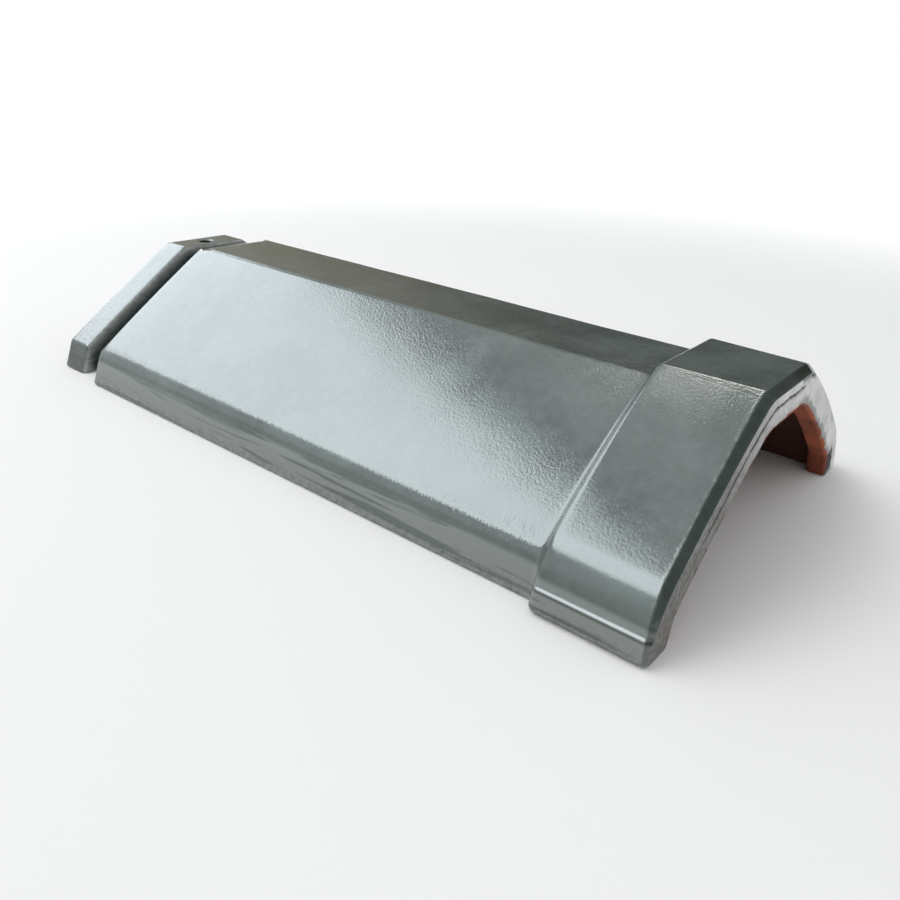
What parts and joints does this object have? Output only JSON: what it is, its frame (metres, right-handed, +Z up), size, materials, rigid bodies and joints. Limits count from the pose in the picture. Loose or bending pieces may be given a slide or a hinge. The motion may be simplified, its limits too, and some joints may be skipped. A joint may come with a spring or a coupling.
{
  "type": "ridge tile",
  "caption": "Angular interlocking ridge tile of glazed clay: trapezoidal arch with a raised collar at one end and a ribbed, grooved spigot with a nail hole at the other.",
  "frame": {"origin": "middle of the footprint, on the plane that the two feet stand on", "axes": "+X along the ridge from the spigot to the collar, +Y across the ridge, +Z up"},
  "size_m": [0.41, 0.2266, 0.08],
  "materials": {
    "glazed_clay": "green-grey gloss glaze over fired red clay, bare and matt on the underside"
  },
  "bodies": {
    "root": {"ridge_tile": "glazed_clay"}
  },
  "joints": []
}
